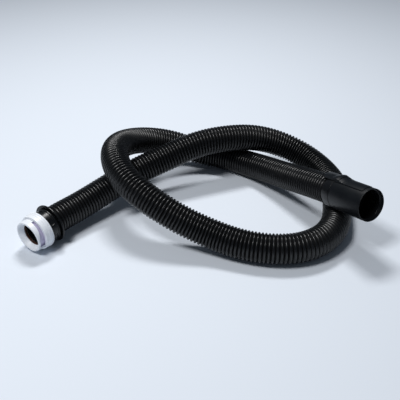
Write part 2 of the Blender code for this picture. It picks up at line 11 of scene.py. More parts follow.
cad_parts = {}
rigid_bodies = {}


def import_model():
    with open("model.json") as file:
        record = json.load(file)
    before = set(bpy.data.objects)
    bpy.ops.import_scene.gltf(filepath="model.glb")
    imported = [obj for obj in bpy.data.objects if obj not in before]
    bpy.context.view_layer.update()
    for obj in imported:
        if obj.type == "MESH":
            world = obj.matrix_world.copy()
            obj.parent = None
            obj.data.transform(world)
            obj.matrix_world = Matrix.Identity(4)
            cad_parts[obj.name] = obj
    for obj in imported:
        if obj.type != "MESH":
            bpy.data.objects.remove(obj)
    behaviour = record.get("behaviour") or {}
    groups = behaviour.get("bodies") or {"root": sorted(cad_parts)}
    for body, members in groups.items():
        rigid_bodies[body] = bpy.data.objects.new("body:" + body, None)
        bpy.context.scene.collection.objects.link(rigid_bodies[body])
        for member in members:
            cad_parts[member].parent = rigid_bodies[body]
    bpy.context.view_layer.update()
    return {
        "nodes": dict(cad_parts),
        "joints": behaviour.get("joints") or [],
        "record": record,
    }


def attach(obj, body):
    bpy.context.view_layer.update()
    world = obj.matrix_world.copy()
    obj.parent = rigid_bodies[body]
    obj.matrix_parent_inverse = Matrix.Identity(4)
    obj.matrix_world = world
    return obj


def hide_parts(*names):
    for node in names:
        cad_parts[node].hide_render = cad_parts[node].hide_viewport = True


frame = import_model()

# Steps of round shapes, and small distances
TURN_STEPS = 144
ROD_STEPS = 40
ARC_STEPS = 4
PLAN_ARC_STEPS = 12
BEVEL_SEGMENTS = 3
SHARP_DEG = 32.0
MERGE = 0.000005
WELD = 0.00002
GAP = 0.0003

# Hose: metres, with the middle points of its route in millimetres
HOSE_D = 0.039
HOSE_STRAIGHT = 0.0060
HOSE_BORE_R = 0.0158
RIB_PITCH = 0.00475
RIB_DEPTH = 0.0027
RIB_RINGS = 9
RIB_SIDES = 30
RIB_SHAPE = 0.50
HOSE_SHARP_DEG = 80.0
ROUTE_STEPS = 700
ROUTE_MM = (
    (-164.5, 32.5, 27), (-138.5, 59.5, 31), (-109.5, 85.5, 38), (-75.5, 110.5, 46), (-41.5, 130.5, 53),
    (-10.5, 146.5, 60), (19.5, 159.5, 63), (50.5, 171.5, 62), (82.5, 182.5, 57), (118.5, 188.5, 46),
    (151.5, 181.5, 34), (175.5, 161.5, 25), (190.5, 132.5, 20.6), (196.5, 92.5, 19.9), (191.5, 48.5, 20),
    (182.5, 10.5, 19.9), (163.5, -22.5, 20), (129.5, -44.5, 19.8), (90.5, -47.5, 20), (52.5, -38.5, 21.2),
    (16.5, -24.5, 27), (-18.5, -13.5, 39), (-52.5, 0.5, 54), (-82.5, 21.5, 67), (-103.5, 51.5, 75),
    (-113.5, 88.5, 78), (-110.5, 129.5, 72), (-92.5, 164.5, 61), (-65.5, 188.5, 49), (-33.5, 199.5, 37),
    (2.5, 199.5, 24), (39.5, 190.5, 20.4), (70.5, 172.5, 20.1), (96.5, 148.5, 24), (121.5, 115.5, 32),
    (146.5, 76.5, 44), (167.5, 43.5, 54),
)

# Wand cuff and latch, in the cuff's frame
INSERT_SOCKET_L = 0.0060
SOCKET_R = 0.0202
SOCKET_BACK_Z = 0.0340
PIVOT_R = 0.0220
PIVOT_Z = 0.0164
PIVOT_BORE_R = 0.00115
LUG_SIZE = (0.0035, 0.0040, 0.0036)
LUG_X = 0.02165
LUG_BORE_L = 0.010
SLOT_SIZE = (0.0048, 0.0052, 0.0048)
SLOT_X = 0.0216
LEVER_BORE_L = 0.0156
HOOK_Z = 0.0475
HOOK_SIZE = (0.0038, 0.0080, 0.0032)
HOOK_X = 0.0194
WINDOW_SIZE = (0.0040, 0.0098, 0.0050)
WINDOW_X = 0.01955
WELL_R = 0.0026
WELL_L = 0.0041
WELL_CENTRE = (0.02125, 0, 0.0094)
PLAN_DEPTH = 0.040

# Inlet, in the inlet's frame, with the grooves' front walls as pairs of angle and height
POCKETS = 6
FIRST_POCKET_DEG = 12.0
POCKET_SIZE = (0.006, 0.0098, 0.0060)
POCKET_CENTRE = (0.0233, 0, 0.0116)
POCKET_ROUND = 0.0009
GROOVE_FLOOR_R = 0.0184
NOTCH_FLOOR_R = 0.0200
GROOVE_OUT_R = 0.0230
GROOVE_STEP_DEG = 3
GROOVE_TURNS = (0.0, 180.0)
BAND_FRONT_Z = 0.0290
GROOVE_FRONT = ((-10, 0.0326), (-39, 0.0330), (-57, 0.0340), (-84, 0.0372), (-120, 0.0372))
NOTCH_FRONT = ((60, 0.0296), (14, 0.0296))
# Radii and heights, in the inlet's frame, of the painted shade on the grooves' floor
GROOVE_SHADE_RADII = ((0.0176, 0.0180), (0.0208, 0.0196))
GROOVE_SHADE_HEIGHTS = ((0.0286, 0.0289), (0.0376, 0.0373))
GRIP_RIDGES = 96
GRIP_RING_R = 0.0242
GRIP_RIDGE_R = 0.0005
GRIP_RIDGE_L = 0.0014
GRIP_RIDGE_SIDES = 8
GRIP_Z = 0.0196

# Plastics
CLOUD_SCALE = 60.0
GLOSS_SPREAD = 0.06
GRAIN_DEPTH = 0.00008
VALLEY_DULLNESS = 0.25
# Colour factor of the ribs' valleys: painted shade in the valleys
VALLEY_SHADE = 0.15

# Camera, floor, world and lamps; a lamp has its place, target, size and power
CAMERA_PLACE = (0.0036, -0.6788, 0.4951)
CAMERA_TILT_DEG = 57.42
CAMERA_LENS = 57.04
FLOOR_HALF = 3.0
FLOOR_Z = -0.0004
FLOOR_COLOUR = (0.72, 0.77, 0.84, 1.0)
WORLD_COLOUR = (0.72, 0.84, 1.0, 1.0)
WORLD_STRENGTH = 0.12
LAMPS = (
    ("key", (-0.55, -0.50, 1.45), (0.0, 0.06, 0.0), (0.46, 0.38), 14.3),
    ("back", (-0.10, 0.70, 1.40), (0.0, 0.08, 0.0), (0.46, 0.26), 14.5),
)

WORK = bpy.data.collections.new("work")
bpy.context.scene.collection.children.link(WORK)


def joint(name):
    """Joint of the record by its name."""
    return next(j for j in frame["joints"] if j["name"] == name)


def mount(name):
    """Mount of the record by its name."""
    return next(m for m in frame["record"]["mounts"] if m["name"] == name)


def axes(origin, across, side, along):
    """Matrix of a fitting's frame: local X up, local Z towards the mouth."""
    return Matrix.Translation(origin) @ Matrix((across, side, along)).transposed().to_4x4()


def inlet_frame():
    """Frame at the hose's end face in the inlet, from the swivel's axis."""
    swivel = joint("inlet_swivel")
    along = Vector(swivel["axis"]).normalized()
    up = Vector((0, 0, 1))
    across = (up - up.dot(along) * along).normalized()
    return axes(Vector(swivel["pos_m"]), across, along.cross(across), along)


def cuff_frame():
    """Frame at the shoulder's hose-side edge, from the latch's pivot and the rim's face."""
    press = joint("latch_press")
    along = Vector(mount("cuff_rim_face")["axis"]).normalized()
    side = Vector(press["axis"]).normalized()
    across = side.cross(along)
    origin = Vector(press["pos_m"]) - PIVOT_R * across - PIVOT_Z * along
    return axes(origin, across, side, along)


INLET = inlet_frame()
CUFF = cuff_frame()


def node(tree, kind, label=None, **settings):
    """Node of a kind with its settings."""
    made = tree.nodes.new(kind)
    if label:
        made.label = label
    for key, value in settings.items():
        setattr(made, key, value)
    return made


def math_node(tree, operation, *values):
    """Math node whose inputs are numbers or sockets; gives its output."""
    made = node(tree, "ShaderNodeMath", operation=operation)
    for socket, value in zip(made.inputs, values):
        if isinstance(value, bpy.types.NodeSocket):
            tree.links.new(value, socket)
        else:
            socket.default_value = value
    return made.outputs[0]


def plastic(name, colour, roughness, grain, grain_scale, specular=0.5, tone=0.15):
    """Moulded plastic: slightly uneven tone and gloss, and a fine grain in the surface."""
    mat = bpy.data.materials.new(name)
    mat.use_nodes = True
    tree = mat.node_tree
    shader = tree.nodes["Principled BSDF"]
    shader.inputs["Specular IOR Level"].default_value = specular
    spot = node(tree, "ShaderNodeTexCoord")
    cloud = node(tree, "ShaderNodeTexNoise", "uneven gloss")
    cloud.inputs["Scale"].default_value = CLOUD_SCALE
    cloud.inputs["Detail"].default_value = 4.0
    gloss = node(tree, "ShaderNodeMapRange", "gloss range")
    gloss.inputs["To Min"].default_value = roughness - GLOSS_SPREAD
    gloss.inputs["To Max"].default_value = roughness + GLOSS_SPREAD
    shade = node(tree, "ShaderNodeMix", "uneven tone", data_type="RGBA")
    shade.inputs["A"].default_value = (*(part * (1 - tone) for part in colour), 1.0)
    shade.inputs["B"].default_value = (*(part * (1 + tone) for part in colour), 1.0)
    fine = node(tree, "ShaderNodeTexNoise", "grain")
    fine.inputs["Scale"].default_value = grain_scale
    fine.inputs["Detail"].default_value = 2.0
    bump = node(tree, "ShaderNodeBump")
    bump.inputs["Strength"].default_value = grain
    bump.inputs["Distance"].default_value = GRAIN_DEPTH
    links = tree.links
    links.new(spot.outputs["Object"], cloud.inputs["Vector"])
    links.new(spot.outputs["Object"], fine.inputs["Vector"])
    links.new(cloud.outputs["Fac"], gloss.inputs["Value"])
    links.new(cloud.outputs["Fac"], shade.inputs["Factor"])
    links.new(shade.outputs["Result"], shader.inputs["Base Color"])
    links.new(gloss.outputs["Result"], shader.inputs["Roughness"])
    links.new(fine.outputs["Fac"], bump.inputs["Height"])
    links.new(bump.outputs["Normal"], shader.inputs["Normal"])
    return mat


def ribbed_plastic(name, colour, roughness, grain, grain_scale, specular):
    """Plastic of the hose: the ribs' crests are rubbed glossy and the valleys stay dull; the valleys'
    darker colour is painted shade.
    """
    mat = plastic(name, colour, roughness, grain, grain_scale, specular)
    tree = mat.node_tree
    shader = tree.nodes["Principled BSDF"]
    rib = node(tree, "ShaderNodeAttribute", "rib height", attribute_name="rib_height")
    dull = node(tree, "ShaderNodeMapRange", "valley dullness")
    dull.inputs["To Min"].default_value = VALLEY_DULLNESS
    dull.inputs["To Max"].default_value = 0.0
    add = node(tree, "ShaderNodeMath", "gloss and dullness", operation="ADD")
    # The valleys' darker colour is painted shade
    valley_shade = node(tree, "ShaderNodeMix", "painted valley shade", data_type="RGBA")
    valley_shade.inputs["A"].default_value = (*(part * VALLEY_SHADE for part in colour), 1.0)
    links = tree.links
    old_gloss = shader.inputs["Roughness"].links[0].from_socket
    old_tone = shader.inputs["Base Color"].links[0].from_socket
    links.new(rib.outputs["Fac"], dull.inputs["Value"])
    links.new(old_gloss, add.inputs[0])
    links.new(dull.outputs["Result"], add.inputs[1])
    links.new(add.outputs[0], shader.inputs["Roughness"])
    links.new(rib.outputs["Fac"], valley_shade.inputs["Factor"])
    links.new(old_tone, valley_shade.inputs["B"])
    links.new(valley_shade.outputs["Result"], shader.inputs["Base Color"])
    return mat


def collar_plastic(name, colour, groove_shade_colour):
    """White plastic with painted shade, greyer and slightly violet, on the floor of the bayonet grooves.
    """
    mat = plastic(name, colour, 0.36, 0.06, 700.0, specular=0.45, tone=0.02)
    tree = mat.node_tree
    links = tree.links
    shader = tree.nodes["Principled BSDF"]
    spot = node(tree, "ShaderNodeTexCoord")
    seat = node(tree, "ShaderNodeMapping", "into the inlet's frame", vector_type="TEXTURE")
    seat.inputs["Location"].default_value = INLET.to_translation()
    seat.inputs["Rotation"].default_value = INLET.to_euler()
    flat = node(tree, "ShaderNodeVectorMath", "across the axis", operation="MULTIPLY")
    flat.inputs[1].default_value = (1.0, 1.0, 0.0)
    radius = node(tree, "ShaderNodeVectorMath", "radius", operation="LENGTH")
    along = node(tree, "ShaderNodeSeparateXYZ", "along the axis")
    links.new(spot.outputs["Object"], seat.inputs["Vector"])
    links.new(seat.outputs["Vector"], flat.inputs[0])
    links.new(flat.outputs["Vector"], radius.inputs[0])
    links.new(seat.outputs["Vector"], along.inputs["Vector"])
    ring = band(tree, radius.outputs["Value"], *GROOVE_SHADE_RADII)
    belt = band(tree, along.outputs["Z"], *GROOVE_SHADE_HEIGHTS)
    groove_shade_mask = math_node(tree, "MULTIPLY", ring, belt)
    # Painted shade, greyer and slightly violet, on the grooves' floor
    groove_shade = node(tree, "ShaderNodeMix", "painted groove shade", data_type="RGBA")
    groove_shade.inputs["B"].default_value = (*groove_shade_colour, 1.0)
    old_tone = shader.inputs["Base Color"].links[0].from_socket
    links.new(groove_shade_mask, groove_shade.inputs["Factor"])
    links.new(old_tone, groove_shade.inputs["A"])
    links.new(groove_shade.outputs["Result"], shader.inputs["Base Color"])
    return mat


def band(tree, value, rise, fall):
    """Mask that is 1 between two soft edges of a value."""
    return math_node(tree, "MULTIPLY", ramp(tree, value, *rise), ramp(tree, value, *fall))


def ramp(tree, value, low, high):
    """Smooth rise of a value from 0 at one end to 1 at the other, which may lie below it."""
    made = node(tree, "ShaderNodeMapRange", interpolation_type="SMOOTHSTEP")
    made.inputs["From Min"].default_value = low
    made.inputs["From Max"].default_value = high
    tree.links.new(value, made.inputs["Value"])
    return made.outputs["Result"]


def steel(name, colour, roughness):
    """Drawn steel with faint scratches."""
    mat = plastic(name, colour, roughness, 0.15, 2500.0)
    mat.node_tree.nodes["Principled BSDF"].inputs["Metallic"].default_value = 1.0
    return mat


HOSE_BLACK = ribbed_plastic("hose_black", (0.0030, 0.0034, 0.0042), 0.27, 0.08, 1800.0, 0.42)
GLOSS_BLACK = plastic("gloss_black", (0.0036, 0.0042, 0.0052), 0.29, 0.05, 900.0, 0.32)
CUFF_BLACK = plastic("cuff_black", (0.0036, 0.0046, 0.0062), 0.38, 0.20, 2600.0, 0.26)
LATCH_BLACK = plastic("latch_black", (0.0030, 0.0044, 0.0066), 0.42, 0.12, 2200.0, 0.12)
# The second colour is painted shade on the grooves' floor
WHITE = collar_plastic("collar_white", (0.79, 0.82, 0.87), (0.50, 0.47, 0.62))
RUBBER = plastic("seal_rubber", (0.050, 0.020, 0.012), 0.50, 0.25, 1500.0)
STEEL = steel("spring_steel", (0.56, 0.55, 0.54), 0.28)


def rounded(outline, steps=ARC_STEPS):
    """Closed outline in metres from millimetre corners; a third number is that corner's radius."""
    points = []
    for i, corner in enumerate(outline):
        spot = Vector(corner[:2]) / 1000
        if len(corner) == 2:
            points.append(spot)
            continue
        fillet = corner[2] / 1000
        before = (Vector(outline[i - 1][:2]) / 1000 - spot).normalized()
        after = (Vector(outline[(i + 1) % len(outline)][:2]) / 1000 - spot).normalized()
        half = before.angle(after) / 2
        reach = fillet / math.tan(half)
        centre = spot + (before + after).normalized() * fillet / math.sin(half)
        first, last = spot + before * reach - centre, spot + after * reach - centre
        for k in range(steps + 1):
            points.append(centre + first.lerp(last, k / steps).normalized() * fillet)
    return points


def working(name, bm):
    """Working object from a bmesh, which is freed."""
    mesh = bpy.data.meshes.new(name)
    bm.to_mesh(mesh)
    bm.free()
    obj = bpy.data.objects.new(name, mesh)
    WORK.objects.link(obj)
    return obj


def turned(name, outline):
    """Working object: a closed millimetre outline, down its outer side first, turned about local Z."""
    bm = bmesh.new()
    verts = [bm.verts.new((r, 0, z)) for r, z in rounded(outline)]
    for i, vert in enumerate(verts):
        bm.edges.new((vert, verts[(i + 1) % len(verts)]))
    obj = working(name, bm)
    screw = obj.modifiers.new("Turn", "SCREW")
    screw.steps = TURN_STEPS
    screw.render_steps = TURN_STEPS
    screw.use_merge_vertices = True
    screw.merge_threshold = MERGE
    return obj


def soft_block(name, size, centre, turn=0.0, bevel=0.0):
    """Working box, with rounded edges where a bevel is given, turned about local Z."""
    bm = bmesh.new()
    bmesh.ops.create_cube(bm, size=1.0)
    bmesh.ops.scale(bm, vec=size, verts=bm.verts)
    bmesh.ops.translate(bm, vec=centre, verts=bm.verts)
    if bevel:
        bmesh.ops.bevel(bm, geom=bm.edges[:], offset=bevel, segments=BEVEL_SEGMENTS,
                        affect="EDGES", profile=0.5)
    bmesh.ops.rotate(bm, matrix=Matrix.Rotation(turn, 3, "Z"), verts=bm.verts)
    return working(name, bm)


def rod(name, radius, length, centre, axis):
    """Working round rod about a centre, turned a quarter about an axis from local Z."""
    bm = bmesh.new()
    bmesh.ops.create_cone(bm, cap_ends=True, segments=ROD_STEPS, radius1=radius, radius2=radius,
                          depth=length)
    place = Matrix.Translation(centre) @ Matrix.Rotation(math.pi / 2, 4, axis)
    bmesh.ops.transform(bm, matrix=place, verts=bm.verts)
    return working(name, bm)


def cut(obj, other, operation="DIFFERENCE"):
    """Boolean with another working object."""
    mod = obj.modifiers.new(operation.title(), "BOOLEAN")
    mod.operation = operation
    mod.solver = "EXACT"
    mod.object = other


def finished(work, name, place, material, body, replaced, angle=SHARP_DEG):
    """Finished piece at the origin from a working object, on its body, in place of a CAD node."""
    bpy.context.view_layer.update()
    mesh = bpy.data.meshes.new_from_object(work.evaluated_get(bpy.context.evaluated_depsgraph_get()))
    mesh.transform(place)
    mesh.materials.clear()
    mesh.materials.append(material)
    mesh.shade_smooth()
    mesh.set_sharp_from_angle(angle=math.radians(angle))
    obj = bpy.data.objects.new(name, mesh)
    bpy.context.scene.collection.objects.link(obj)
    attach(obj, body)
    if replaced:
        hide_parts(replaced)
    return obj


def clear_work():
    """Remove the working objects."""
    for obj in list(WORK.objects):
        bpy.data.objects.remove(obj, do_unlink=True)
    bpy.data.collections.remove(WORK)


def set_camera():
    """Camera above the front, looking down at the floor as the photograph does."""
    camera = bpy.data.cameras.new("camera")
    camera.sensor_width = 36.0
    camera.lens = CAMERA_LENS
    camera.clip_start = 0.01
    obj = bpy.data.objects.new("camera", camera)
    obj.location = CAMERA_PLACE
    obj.rotation_euler = (math.radians(CAMERA_TILT_DEG), 0, 0)
    bpy.context.scene.collection.objects.link(obj)
    bpy.context.scene.camera = obj


def area_light(name, place, target, size, power):
    """Soft white rectangular lamp aimed at a point."""
    lamp = bpy.data.lights.new(name, "AREA")
    lamp.shape = "RECTANGLE"
    lamp.size, lamp.size_y = size
    lamp.energy = power
    obj = bpy.data.objects.new(name, lamp)
    obj.location = place
    obj.rotation_euler = (Vector(target) - Vector(place)).to_track_quat("-Z", "Y").to_euler()
    bpy.context.scene.collection.objects.link(obj)


def set_stage():
    """Pale floor, dim bluish world and two soft lamps, one in front and one behind."""
    scene = bpy.context.scene
    scene.view_settings.view_transform = "Standard"
    bm = bmesh.new()
    bmesh.ops.create_grid(bm, x_segments=1, y_segments=1, size=FLOOR_HALF)
    mesh = bpy.data.meshes.new("floor")
    bm.to_mesh(mesh)
    bm.free()
    floor = bpy.data.objects.new("floor", mesh)
    floor.location.z = FLOOR_Z
    scene.collection.objects.link(floor)
    mat = bpy.data.materials.new("pale_floor")
    mat.use_nodes = True
    shader = mat.node_tree.nodes["Principled BSDF"]
    shader.inputs["Base Color"].default_value = FLOOR_COLOUR
    shader.inputs["Roughness"].default_value = 0.8
    shader.inputs["Specular IOR Level"].default_value = 0.2
    mesh.materials.append(mat)
    world = bpy.data.worlds.new("studio")
    world.use_nodes = True
    sky = world.node_tree.nodes["Background"]
    sky.inputs["Color"].default_value = WORLD_COLOUR
    sky.inputs["Strength"].default_value = WORLD_STRENGTH
    scene.world = world
    for lamp in LAMPS:
        area_light(*lamp)


def smooth_route(points, start, end, count):
    """Points at even steps along the cubic spline through points, with clamped end directions."""
    points = np.array(points)
    steps = np.linalg.norm(np.diff(points, axis=0), axis=1)
    knots = np.concatenate([[0.0], np.cumsum(steps)])
    system = np.zeros((len(points), len(points)))
    right = np.zeros((len(points), 3))
    system[0, 0] = system[-1, -1] = 1.0
    right[0] = start
    right[-1] = end
    for i in range(1, len(points) - 1):
        before, after = steps[i - 1], steps[i]
        system[i, i - 1:i + 2] = after, 2 * (before + after), before
        right[i] = 3 * (after * (points[i] - points[i - 1]) / before
                        + before * (points[i + 1] - points[i]) / after)
    slopes = np.linalg.solve(system, right)
    along = np.linspace(0, knots[-1], count)
    span = np.clip(np.searchsorted(knots, along, side="right") - 1, 0, len(points) - 2)
    width = steps[span][:, None]
    t = (along - knots[span])[:, None] / width
    return ((2 * t**3 - 3 * t**2 + 1) * points[span] + (t**3 - 2 * t**2 + t) * width * slopes[span]
            + (3 * t**2 - 2 * t**3) * points[span + 1] + (t**3 - t**2) * width * slopes[span + 1])


def hose_route():
    """Centre line of the hose from the inlet's socket to the insert's socket."""
    inlet_axis = INLET.to_3x3() @ Vector((0, 0, 1))
    cuff_axis = CUFF.to_3x3() @ Vector((0, 0, 1))
    first = INLET @ Vector((0, 0, -GAP))
    last = CUFF @ Vector((0, 0, INSERT_SOCKET_L - GAP))
    start = first - HOSE_STRAIGHT * inlet_axis
    end = last - HOSE_STRAIGHT * cuff_axis
    route = [start] + [Vector(point) / 1000 for point in ROUTE_MM] + [end]
    points = smooth_route(route, -inlet_axis, cuff_axis, ROUTE_STEPS)
    return [first, *(Vector(point) for point in points), last]


def add_input(tree, name, kind, value=None):
    """Named input socket of a node tree."""
    socket = tree.interface.new_socket(name, in_out="INPUT", socket_type=kind)
    if value is not None:
        socket.default_value = value
    return socket.identifier


def ribbed_tube_tree():
    """Geometry nodes that sweep a ribbed outer wall and a plain bore along a curve."""
    tree = bpy.data.node_groups.new("ribbed_tube", "GeometryNodeTree")
    tree.interface.new_socket("Geometry", in_out="INPUT", socket_type="NodeSocketGeometry")
    ids = {
        "pitch": add_input(tree, "Rib pitch", "NodeSocketFloat", 0.005),
        "crest": add_input(tree, "Crest radius", "NodeSocketFloat", 0.02),
        "depth": add_input(tree, "Rib depth", "NodeSocketFloat", 0.002),
        "bore": add_input(tree, "Bore radius", "NodeSocketFloat", 0.016),
        "rings": add_input(tree, "Rings in a rib", "NodeSocketInt", 8),
        "sides": add_input(tree, "Sides", "NodeSocketInt", 32),
        "material": add_input(tree, "Material", "NodeSocketMaterial"),
    }
    tree.interface.new_socket("Geometry", in_out="OUTPUT", socket_type="NodeSocketGeometry")
    into = node(tree, "NodeGroupInput")
    out = node(tree, "NodeGroupOutput")
    links = tree.links
    curve = into.outputs["Geometry"]
    length = node(tree, "GeometryNodeCurveLength")
    links.new(curve, length.inputs["Curve"])
    ribs = math_node(tree, "DIVIDE", length.outputs[0], into.outputs["Rib pitch"])
    ribs = math_node(tree, "ROUND", ribs)
    count = math_node(tree, "MULTIPLY_ADD", ribs, into.outputs["Rings in a rib"], 1.0)
    height = rib_height(tree, ribs)
    outer = swept(tree, curve, count, rib_radius(tree, into, height), height, into)
    inner = swept(tree, curve, ribs, into.outputs["Bore radius"], 0.0, into)
    flip = node(tree, "GeometryNodeFlipFaces")
    links.new(inner, flip.inputs["Mesh"])
    join = node(tree, "GeometryNodeJoinGeometry")
    links.new(outer, join.inputs[0])
    links.new(flip.outputs["Mesh"], join.inputs[0])
    weld = node(tree, "GeometryNodeMergeByDistance")
    weld.inputs["Distance"].default_value = WELD
    links.new(join.outputs[0], weld.inputs["Geometry"])
    close_tree(tree, weld.outputs[0], into, out)
    return tree, ids


def close_tree(tree, geometry, into, out):
    """End of a tree: instances made real and the material set."""
    real = node(tree, "GeometryNodeRealizeInstances")
    paint = node(tree, "GeometryNodeSetMaterial")
    tree.links.new(geometry, real.inputs["Geometry"])
    tree.links.new(real.outputs[0], paint.inputs["Geometry"])
    tree.links.new(into.outputs["Material"], paint.inputs["Material"])
    tree.links.new(paint.outputs[0], out.inputs[0])


def rib_height(tree, ribs):
    """Height along the hose, from 0 in the narrow valleys to 1 on the full, round crests."""
    along = node(tree, "GeometryNodeSplineParameter")
    place = math_node(tree, "MULTIPLY", along.outputs["Factor"], ribs)
    phase = math_node(tree, "MULTIPLY", place, 2 * math.pi)
    wave = math_node(tree, "MULTIPLY_ADD", math_node(tree, "COSINE", phase), -0.5, 0.5)
    return math_node(tree, "POWER", wave, RIB_SHAPE)


def rib_radius(tree, into, height):
    """Radius along the hose from the ribs' height, with the bore's radius at both ends."""
    below = math_node(tree, "SUBTRACT", 1.0, height)
    fall = math_node(tree, "MULTIPLY", below, into.outputs["Rib depth"])
    radius = math_node(tree, "SUBTRACT", into.outputs["Crest radius"], fall)
    ends = node(tree, "GeometryNodeCurveEndpointSelection")
    pick = node(tree, "GeometryNodeSwitch", input_type="FLOAT")
    tree.links.new(ends.outputs[0], pick.inputs["Switch"])
    tree.links.new(radius, pick.inputs["False"])
    tree.links.new(into.outputs["Bore radius"], pick.inputs["True"])
    return pick.outputs[0]


def swept(tree, curve, count, radius, height, into):
    """Curve resampled to a count of rings and swept with a circle; keeps the ribs' height."""
    links = tree.links
    even = node(tree, "GeometryNodeResampleCurve")
    links.new(curve, even.inputs["Curve"])
    links.new(count, even.inputs["Count"])
    level = node(tree, "GeometryNodeSetCurveNormal")
    set_mode(level, "Z_UP")
    links.new(even.outputs[0], level.inputs["Curve"])
    wide = node(tree, "GeometryNodeSetCurveRadius")
    links.new(level.outputs[0], wide.inputs["Curve"])
    links.new(radius, wide.inputs["Radius"])
    keep = node(tree, "GeometryNodeStoreNamedAttribute", data_type="FLOAT", domain="POINT")
    keep.inputs["Name"].default_value = "rib_height"
    if isinstance(height, bpy.types.NodeSocket):
        links.new(height, keep.inputs["Value"])
    links.new(wide.outputs[0], keep.inputs["Geometry"])
    circle = node(tree, "GeometryNodeCurvePrimitiveCircle")
    circle.inputs["Radius"].default_value = 1.0
    links.new(into.outputs["Sides"], circle.inputs["Resolution"])
    sweep = node(tree, "GeometryNodeCurveToMesh")
    links.new(keep.outputs[0], sweep.inputs["Curve"])
    links.new(circle.outputs[0], sweep.inputs["Profile Curve"])
    if "Scale" in sweep.inputs:
        read = node(tree, "GeometryNodeInputRadius")
        links.new(read.outputs[0], sweep.inputs["Scale"])
    return sweep.outputs[0]


def set_mode(made, mode):
    """Normal mode of a Set Curve Normal node, a property or a menu socket by version."""
    if hasattr(made, "mode"):
        made.mode = mode
    else:
        made.inputs["Mode"].default_value = mode


def make_hose():
    """Ribbed hose, swept by the node tree and baked to a plain mesh."""
    route = hose_route()
    curve = bpy.data.curves.new("hose_line", "CURVE")
    curve.dimensions = "3D"
    spline = curve.splines.new("POLY")
    spline.points.add(len(route) - 1)
    for spot, point in zip(spline.points, route):
        spot.co = (*point, 1.0)
    line = bpy.data.objects.new("hose_line", curve)
    WORK.objects.link(line)
    tree, ids = ribbed_tube_tree()
    sweep = line.modifiers.new("Ribs", "NODES")
    sweep.node_group = tree
    sweep[ids["pitch"]] = RIB_PITCH
    sweep[ids["crest"]] = HOSE_D / 2
    sweep[ids["depth"]] = RIB_DEPTH
    sweep[ids["bore"]] = HOSE_BORE_R
    sweep[ids["rings"]] = RIB_RINGS
    sweep[ids["sides"]] = RIB_SIDES
    sweep[ids["material"]] = HOSE_BLACK
    hose = finished(line, "ribbed_hose", Matrix.Identity(4), HOSE_BLACK, "hose_body",
                    "hose", HOSE_SHARP_DEG)


def make_hose_connector():
    """Inner tube seen down the inlet's throat."""
    outline = (
        (16.2, 28.6, 0.7), (16.2, 15.8), (18.0, 14.0, 0.3), (18.0, 8.4, 0.2), (16.9, 8.4), (16.9, 6.0),
        (18.0, 6.0), (18.0, 0.0, 0.2), (14.5, 0.0, 0.6), (14.5, 28.6, 0.3),
    )
    finished(turned("connector_work", outline), "connector_tube", INLET, GLOSS_BLACK, "hose_body",
             "hose_connector")


def make_flange_ring():
    """Flange with its raised rim and the lip round the hose's end."""
    outline = (
        (25.8, 3.1, 0.6), (25.8, 0.9, 0.8), (22.1, 0.9, 0.5), (21.3, -2.6, 0.4), (19.9, -2.6, 0.3),
        (19.9, 0.0), (18.3, 0.0), (18.3, 2.6, 0.3), (23.9, 2.6, 0.3), (24.4, 3.1, 0.3),
    )
    finished(turned("flange_work", outline), "flange", INLET, GLOSS_BLACK, "hose_body",
             "flange_ring")


def make_inlet_sleeve():
    """Black sleeve with its bead and grip pockets."""
    outline = (
        (21.2, 20.9, 0.4), (21.2, 7.2, 0.3), (22.4, 6.8, 0.5), (22.4, 5.2, 0.5), (21.6, 5.2, 0.2),
        (21.6, 3.4, 0.4), (18.4, 3.4), (18.4, 6.0), (19.7, 6.0), (19.7, 10.7), (20.2, 10.7), (20.2, 12.3),
        (19.7, 12.3), (19.7, 20.9, 0.3),
    )
    sleeve = turned("sleeve_work", outline)
    for i in range(POCKETS):
        turn = math.radians(FIRST_POCKET_DEG + 360.0 / POCKETS * i)
        cut(sleeve, soft_block("pocket_%d" % i, POCKET_SIZE, POCKET_CENTRE, turn, POCKET_ROUND))
    finished(sleeve, "sleeve", INLET, GLOSS_BLACK, "inlet_collar", "inlet_sleeve")


def groove_sector(name, walls, turn, floor_r):
    """Cutter of one groove of the bayonet, whose front wall runs through (angle, z) pairs."""
    angles = [angle for angle, _ in walls]
    fronts = [front for _, front in walls]
    count = max(2, round(abs(angles[-1] - angles[0]) / GROOVE_STEP_DEG))
    bm = bmesh.new()
    rings = []
    for angle in np.linspace(angles[0], angles[-1], count + 1):
        front = float(np.interp(-angle, [-a for a in angles], fronts))
        spin = Matrix.Rotation(math.radians(angle + turn), 3, "Z")
        corners = ((floor_r, BAND_FRONT_Z), (GROOVE_OUT_R, BAND_FRONT_Z),
                   (GROOVE_OUT_R, front), (floor_r, front))
        rings.append([bm.verts.new(spin @ Vector((r, 0, z))) for r, z in corners])
    for one, two in zip(rings, rings[1:]):
        for k in range(4):
            bm.faces.new((one[k], one[(k + 1) % 4], two[(k + 1) % 4], two[k]))
    bm.faces.new(rings[0])
    bm.faces.new(rings[-1])
    bmesh.ops.recalc_face_normals(bm, faces=bm.faces)
    return working(name, bm)


